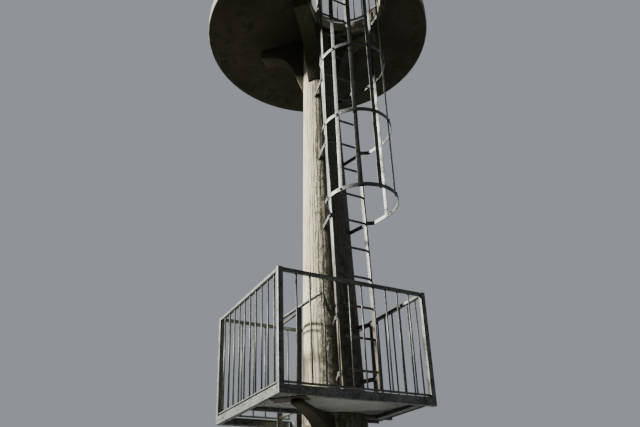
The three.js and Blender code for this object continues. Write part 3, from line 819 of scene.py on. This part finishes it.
railParts = {"size": 0.030, "lowHeight": 0.012, "lowRise": 0.015, "barRadius": 0.007, "corner": 0.004,
             "lowCorner": 0.002, "barSeat": 0.004}
railSection = roundedRect(railParts["size"], railParts["size"], railParts["corner"])
lowRailSection = roundedRect(railParts["size"], railParts["lowHeight"], railParts["lowCorner"])


def addBars(made, points, length, sides):
    grow(made, barsAtPoints, Points=meshObject("bars", points), Turn=(0.0, 0.0, 0.0),
         Radius=railParts["barRadius"], Length=length, Sides=sides, Material=galvanised)


def makeRailing(side, start, end, bars, endsInBar=False, runOn=0.0):
    s = railParts
    start, end = Vector((*start, 0)), Vector((*end, 0))
    length = (end - start).length
    direction = (end - start) / length
    top = tower["railTop"] - s["size"] / 2
    barLow = tower["landingTop"] + s["lowRise"] + s["lowHeight"] / 2
    barHigh = tower["railTop"] - s["size"] + s["barSeat"]
    at = lambda d, z: (start.x + direction.x * d, start.y + direction.y * d, z)
    shell = Shell()
    shell.sweep(railSection, [at(0, top), at(length + runOn, top)])
    lowEnd = length + s["barRadius"] if endsInBar else length
    shell.sweep(lowRailSection, [at(0, barLow), at(lowEnd, barLow)])
    made = shell.finish(side + "Railing", galvanised)
    pitch = tower["barPitch"]
    spare = length - (bars - 1) * pitch
    first = spare if endsInBar else spare / 2
    addBars(made, [at(first + k * pitch, (barLow + barHigh) / 2) for k in range(bars)], barHigh - barLow, 14)
    settle(made, "galvanised_steel", "railing_" + side)


half, near = post / 2, post + gap
backBar = tower["backEnd"] - railParts["barRadius"]
makeRailing("front", (leftSide + near, frontSide + half), (rightSide - near, frontSide + half), 10)
makeRailing("left", (leftSide + half, frontSide + near), (leftSide + half, backSide - near), 10)
makeRailing("right", (rightSide - half, frontSide + near), (rightSide - half, tower["rightEnd"] - near), 6)
makeRailing("back", (leftSide + near, backSide - half), (backBar, backSide - half), 6, True,
            rightSide - half + railParts["size"] / 2 - backBar)
print("landing railings made")


# Ladders

ladderParts = {"stileThick": 0.016, "stileDeep": 0.050, "rungRadius": 0.011, "rungSpacing": 0.300,
               "corner": 0.003, "rungSeat": 0.6,        # how far rungs go into both stiles together
               "lowerFoot": 0.120, "lowerRung": 0.250, "tieBar": 3.530,
               "offFloor": 0.0015, "underGuard": 0.0160}


def makeLadder(node, place, low, high, firstRung, count, extra=()):
    s = ladderParts
    offset = tower["stileOffset"]
    shell = Shell()
    for side in (-1, 1):
        shell.sweep(roundedRect(s["stileThick"], s["stileDeep"], s["corner"]),
                    [(side * offset, 0, low), (side * offset, 0, high)], (0, 1, 0), place=place)
    made = shell.finish(pieceName(node), ladderSteel)
    rungs = [firstRung + k * s["rungSpacing"] for k in range(count)] + list(extra)
    turn = (place.to_3x3() @ Matrix.Rotation(math.pi / 2, 3, "Y")).to_euler()
    grow(made, barsAtPoints, Points=meshObject("rungs", [place @ Vector((0, 0, z)) for z in rungs]),
         Turn=tuple(turn), Radius=s["rungRadius"], Length=2 * offset + s["stileThick"] * s["rungSeat"],
         Sides=16, Material=ladderSteel)
    settle(made, "galvanised_steel", node)


# a ladder's heights are in its own frame: both ends, the first rung and, on the lower one, a tie bar
guardZ = tower["railTop"] - tower["guardRadius"]
rungLevel, floorLevel = tower["upperRung"], tower["landingTop"]
makeLadder("upper_ladder", upperPlace, tower["floorTop"] - rungLevel + ladderParts["offFloor"],
           tower["discTop"] + tower["discRailHigh"] - rungLevel, 0.0, 18)
foot, rung, tie = (ladderParts[key] - floorLevel for key in ("lowerFoot", "lowerRung", "tieBar"))
makeLadder("lower_ladder", lowerPlace, foot, guardZ - ladderParts["underGuard"] - floorLevel, rung, 9, [tie])


# Brackets, guard rail and cage

cageParts = {
    "radius": 0.337, "setOut": 0.300, "hoopThick": 0.006, "hoopHigh": 0.040,
    "heights": (4.460, 5.300, 6.140, 6.980),
    "shift": -0.037, "drift": 0.019,            # sideways, of the lowest hoop and per metre above it
    "leftEnd": 20.0,                            # degrees, where the left end leaves the arc
    "corner": (0.295, 0.245), "topCorner": (0.240, 0.252),      # where the straight ends turn in
    "tabY": -0.016, "boltY": 0.006,
    "straps": (175, 205, 236, 268, 303, 372), "strapWide": 0.040, "strapThick": 0.005, "strapGap": 0.0015,
}
bracketParts = {
    "arm": 0.008, "armCorner": 0.0015, "beyondStile": 0.025, "foot": 0.120, "stripEnd": 0.022,
    "tab": 0.058, "cageFoot": 0.150, "footLength": 0.050, "short": 0.001,
    "offColumn": 0.0008, "armSeat": 0.003,      # of the strip, and how far arms go into it
    "boltIn": 0.010, "footBolt": 0.62,          # from a strip's end, and the share of a foot's length
    "upper": (2.920, 3.430), "lower": (0.450, 1.100, 1.750),
}
armThick, beyond = bracketParts["arm"], bracketParts["beyondStile"]
stileFace = tower["stileOffset"] + ladderParts["stileThick"] / 2 + gap
armX = stileFace + armThick / 2
armSection = roundedRect(armThick, cageParts["hoopHigh"], bracketParts["armCorner"])
boltPlaces = []


def addBolt(place, spot, out):
    boltPlaces.append((place @ Vector(spot), place.to_3x3() @ Vector(out)))


def addStileBolts(place, y, z):
    for side in (-1, 1):
        addBolt(place, (side * (stileFace + armThick), y, z), (side, 0, 0))


def armsAndStrip(shell, z, distance, place=Matrix.Identity(4), ownFeet=False):
    # flat arms from tabs outside both stiles to the column's face, where a strip that hugs the column
    # joins them, or each has its own foot bent inwards
    s = bracketParts
    radius = columnRadius(z)
    foot = s["cageFoot"] if ownFeet else s["foot"]
    reach = math.sqrt(radius ** 2 - foot ** 2)
    start = -distance - beyond
    for side in (-1, 1):
        shell.sweep(armSection, [(side * armX, start, z), (side * armX, start + s["tab"], z),
                                 (side * foot, -reach - s["armSeat"], z)], place=place)
    if ownFeet:
        spans = [(side * (foot - s["footLength"] + s["short"]), side * (foot + armThick / 2 - s["short"]))
                 for side in (-1, 1)]
        bolts = [side * (foot - s["footLength"] * s["footBolt"]) for side in (-1, 1)]
    else:
        end = foot + s["stripEnd"] - s["short"]
        spans = [(-end, end)]
        bolts = [-end + s["boltIn"], end - s["boltIn"]]
    for ends in spans:
        angles = [math.asin(x / radius) - math.pi / 2 for x in ends]
        shell.sweep(armSection, arcPoints((0, 0), radius + armThick / 2 + s["offColumn"], *angles, 24, z),
                    place=place)
    for x in bolts:
        out = outward(math.asin(x / radius) - math.pi / 2)
        addBolt(place, out * (radius + armThick + 0.001) + Vector((0, 0, z)), out)


def makeBrackets(ladder, place, offset, level):
    for k, z in enumerate(bracketParts[ladder]):
        distance = -(offset + taper * (z - level))
        shell = Shell()
        armsAndStrip(shell, z, distance, place)
        steelPiece(shell, "%s_bracket_%d" % (ladder, k + 1))
        addStileBolts(place, -distance, z)


def roundedPath(points, bend, steps=8):
    points = [Vector(p) for p in points]
    path = [points[0]]
    for a, b, c in zip(points, points[1:], points[2:]):
        before = b + (a - b).normalized() * bend
        after = b + (c - b).normalized() * bend
        for u in (k / steps for k in range(steps + 1)):
            path.append(before * (1 - u) ** 2 + b * 2 * u * (1 - u) + after * u * u)
    return path + [points[-1]]


guardRail = {"start": 0.210, "corner": (0.030, -0.575), "end": (-0.135, -0.195),
             "bend": 0.07}


def makeGuardRail():
    # a bent tube on the lower ladder's stiles, back to the column
    s = guardRail
    x = tower["lowerX"] + taper * (guardZ - tower["landingTop"])
    shell = Shell()
    path = [(x, s["start"]), (x + s["corner"][0], s["corner"][1]), s["end"]]
    shell.sweep(circle(tower["guardRadius"], 18), roundedPath([(*p, guardZ) for p in path], s["bend"]))
    steelPiece(shell, "inner_guard_rail", 50)


def cageShift(z):
    return cageParts["shift"] + cageParts["drift"] * (z - cageParts["heights"][0])


def makeHoop(k, z):
    # an arc in front, straight ends, short tabs in to the stiles, and a plate beside each stile
    s = cageParts
    topmost = z == s["heights"][-1]
    middle = s["radius"] + s["hoopThick"] / 2
    shift, height = cageShift(z), z - rungLevel
    # not outward(), because the arc cosine below enlarges a vector's rounding
    leave = math.radians(s["leftEnd"])
    corners = [(middle * math.cos(leave), middle * math.sin(leave)), s["corner"]]
    if topmost:
        corners = [s["topCorner"], s["topCorner"]]
    left, right = (math.atan2(y, x) - math.acos(min(1, middle / math.hypot(x, y))) for x, y in corners)
    ring = arcPoints((shift, -s["setOut"]), middle, right, -math.pi - left, 72, height)
    turns = [Vector((shift + side * x, y - s["setOut"], height)) for side, (x, y) in zip((-1, 1), corners)]
    if not topmost:
        ring.pop()
    path = ([Vector((armX, s["tabY"], height)), turns[1]] + ring
            + [turns[0], Vector((-armX, s["tabY"], height))])
    shell = Shell()
    shell.sweep(roundedRect(s["hoopThick"], s["hoopHigh"], 0.0015), path, place=upperPlace)
    for side in (-1, 1):
        shell.sweep(armSection, [(side * armX, y, height) for y in (-beyond, beyond)], place=upperPlace)
    if not topmost:
        armsAndStrip(shell, z, -(tower["upperY"] + taper * height), ownFeet=True)
    steelPiece(shell, "cage_hoop_%d" % (k + 1), 40)
    addStileBolts(upperPlace, s["boltY"], height)


def makeStraps():
    # the straps follow the hoops, which drift sideways
    s = cageParts
    low = s["heights"][0] - s["hoopHigh"] / 2 - rungLevel
    high = tower["discTop"] - rungLevel
    middle = s["radius"] - s["strapGap"] - s["strapThick"] / 2
    sheared = Matrix.Identity(4)
    sheared[0][2] = s["drift"]
    sheared[0][3] = cageShift(rungLevel)
    for k, degrees in enumerate(s["straps"]):
        angle = math.radians(degrees)
        out = outward(angle)
        centre = Vector((0, -s["setOut"], 0)) + out * middle
        turn = Matrix.Rotation(angle, 4, "Z")
        shell = Shell()
        shell.sweep(roundedRect(s["strapWide"], s["strapThick"], 0.0015), [(0, 0, low), (0, 0, high)],
                    (1, 0, 0), place=upperPlace @ sheared @ Matrix.Translation(centre) @ turn)
        steelPiece(shell, "cage_strap_%d" % (k + 1))
        for z in s["heights"]:
            spot = Vector((cageShift(z), -s["setOut"], z - rungLevel))
            addBolt(upperPlace, spot + out * (s["radius"] + s["hoopThick"]), out)


makeBrackets("upper", Matrix.Identity(4), tower["upperY"], rungLevel)
makeBrackets("lower", turnLeft, tower["lowerX"], floorLevel)
makeGuardRail()
for k, z in enumerate(cageParts["heights"]):
    makeHoop(k, z)
makeStraps()
print("ladders and cage made")


# Corner plate, end bars and the bearers under the floor, with how far their edges are softened

softParts = {"corner_plate": 0.0015, "right_end_bar": 0.0015, "back_end_bar": 0.0015,
             "angle_bearer": 0.0010, "left_cross_bearer": 0.0015, "right_cross_bearer": 0.0015}

for node, width in softParts.items():
    # a copy of the node with its coplanar triangles joined
    shell = Shell()
    bm = shell.bm
    bm.from_mesh(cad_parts[node].data)
    bmesh.ops.remove_doubles(bm, verts=bm.verts, dist=1e-5)
    bmesh.ops.dissolve_limit(bm, angle_limit=math.radians(1), verts=bm.verts, edges=bm.edges)
    shell.bevel(width, 2)
    if node == "corner_plate":
        settle(shell.finish(pieceName(node), rustedSteel), "rusted_steel", node)
    else:
        steelPiece(shell, node)


# Railings on the disc

discRail = {"reach": 1.160, "rise": 0.080, "post": 0.040, "postIn": 14.98, "bars": 14,
            "barFoot": 0.003, "barHead": 0.019,     # where bars start and end, in from the railing's edges
            "guardReach": 0.435, "guardPostIn": 3, "postHead": 0.002, "stepLength": 0.04}


def makeCurvedRailing(node, centreY, reach, fromDegrees, toDegrees, postIn, bars):
    s = discRail
    base = tower["discTop"]
    low, top = base + s["rise"], base + tower["discRailHigh"]
    barLow, barHigh = low + s["barFoot"], top - s["barHead"]
    a, b = math.radians(fromDegrees), math.radians(toDegrees)
    steps = max(8, int((b - a) * reach / s["stepLength"]))
    shell = Shell()
    for section, z in ((railSection, top - railParts["size"] / 2),
                       (lowRailSection, low + railParts["lowHeight"] / 2)):
        shell.sweep(section, arcPoints((0, centreY), reach, a, b, steps, z))
    for degrees in (fromDegrees + postIn, toDegrees - postIn):
        turn = Matrix.Translation((0, centreY, 0)) @ Matrix.Rotation(math.radians(degrees), 4, "Z")
        shell.sweep(roundedRect(s["post"], s["post"], railParts["corner"]),
                    [(reach, 0, base + gap), (reach, 0, top - s["postHead"])], (0, 1, 0), place=turn)
    made = shell.finish(pieceName(node), galvanised)
    step = (b - a) / (bars + 1)
    points = arcPoints((0, centreY), reach, a + step, b - step, bars - 1, (barLow + barHigh) / 2)
    addBars(made, points, barHigh - barLow, 10)
    settle(made, "galvanised_steel", node)


for k, side in enumerate(quarters):
    start = 90 * k
    makeCurvedRailing("disc_railing_" + side, 0, discRail["reach"], start + 0.02, start + 89.98,
                      discRail["postIn"], discRail["bars"])
for side, start, end, bars in (("right", -50, 110, 11), ("left", 186, 230, 2)):
    makeCurvedRailing("hatch_guard_" + side, tower["hatchY"], discRail["guardReach"], start, end,
                      discRail["guardPostIn"], bars)
addBolts("bracketBolts", boltPlaces)
print("disc railings made")


# Floor, light and camera

stageParts = {
    "floor": (0.42, 0.42, 0.41), "floorWorn": (0.38, 0.38, 0.37), "floorReach": 3.2, "floorSides": 96,
    "back": (0.60, 0.65, 0.71), "front": (0.210, 0.215, 0.215),     # behind the tower and the camera
    "facing": (0.82, 0.57), "heading": 35.0,        # to the pale part: level and up, and degrees from +Y
    "fade": (0.15, 0.80), "strength": 0.48,
}


def makeFloor():
    s = stageParts
    p = Paint("stageFloor")
    tone = p.mix(p.noise(1.5, 3, 0.5) * 0.06, s["floor"], s["floorWorn"])
    sides = s["floorSides"]
    floor = meshObject("stageFloor", [(x, y, 0) for x, y in circle(s["floorReach"], sides)],
                       faces=[tuple(range(sides))])
    floor.data.materials.append(p.surface({"Base Color": tone, "Roughness": 0.9}))


def makeSurroundings():
    s = stageParts
    p = Paint("studio", "worlds")
    a = math.radians(s["heading"])
    level, up = s["facing"]
    along = p.node("ShaderNodeVectorMath", {"operation": "DOT_PRODUCT"}, {
        0: p.node("ShaderNodeTexCoord").outputs["Generated"],
        1: (math.sin(a) * level, math.cos(a) * level, up)}).outputs["Value"]
    tone = p.mix(Value(p, along).step(*s["fade"]), s["front"], s["back"])
    background = p.node("ShaderNodeBackground", None, {"Color": tone, "Strength": s["strength"]})
    p.node("ShaderNodeOutputWorld", None, {"Surface": background.outputs[0]})
    bpy.context.scene.world = p.owner


lights = {
    # a soft key light, from where the photo's light comes, and a weak fill
    "keyLight": {"kind": "SUN", "place": (-22.6, 13.6, 18.5), "target": (0, 0, 4.2),
                 "settings": {"energy": 14.6, "angle": 0.12, "color": (1.0, 0.955, 0.87)}},
    "fillLight": {"kind": "AREA", "place": (6.0, -9.0, 6.0), "target": (0, 0, 4.0),
                  "settings": {"energy": 60, "shape": "DISK", "size": 8.0, "color": (0.92, 0.96, 1.0)}},
}


def addLight(name, kind, place, target, settings):
    lamp = bpy.data.lights.new(name, kind)
    for key, value in settings.items():
        setattr(lamp, key, value)
    made = addObject(name, lamp)
    made.location = place
    made.rotation_euler = (Vector(target) - Vector(place)).to_track_quat("-Z", "Y").to_euler()


cameraParts = {"place": (-2.8323, -4.8586, 1.5806), "heading": 29.395, "pitch": 24.302, "roll": -2.252,
               "focus": 617.6, "width": 640, "height": 427, "middle": (320.0, 269.37), "sensor": 36.0}


def makeCamera():
    s = cameraParts
    q, p, r = (math.radians(s[k]) for k in ("heading", "pitch", "roll"))
    forward = Vector((math.sin(q) * math.cos(p), math.cos(q) * math.cos(p), math.sin(p)))
    right = Vector((math.cos(q), -math.sin(q), 0))
    up = right.cross(forward)
    right, up = right * math.cos(r) + up * math.sin(r), up * math.cos(r) - right * math.sin(r)
    data = bpy.data.cameras.new("camera")
    data.sensor_width = s["sensor"]
    data.lens = s["focus"] * s["sensor"] / s["width"]
    data.shift_x = (s["width"] / 2 - s["middle"][0]) / s["width"]
    data.shift_y = (s["middle"][1] - s["height"] / 2) / s["width"]
    made = addObject("camera", data)
    made.matrix_world = Matrix.Translation(s["place"]) @ Matrix((right, up, -forward)).transposed().to_4x4()
    bpy.context.scene.camera = made


makeFloor()
makeSurroundings()
for name, light in lights.items():
    addLight(name, **light)
makeCamera()
bpy.context.view_layer.update()
print("scene made")
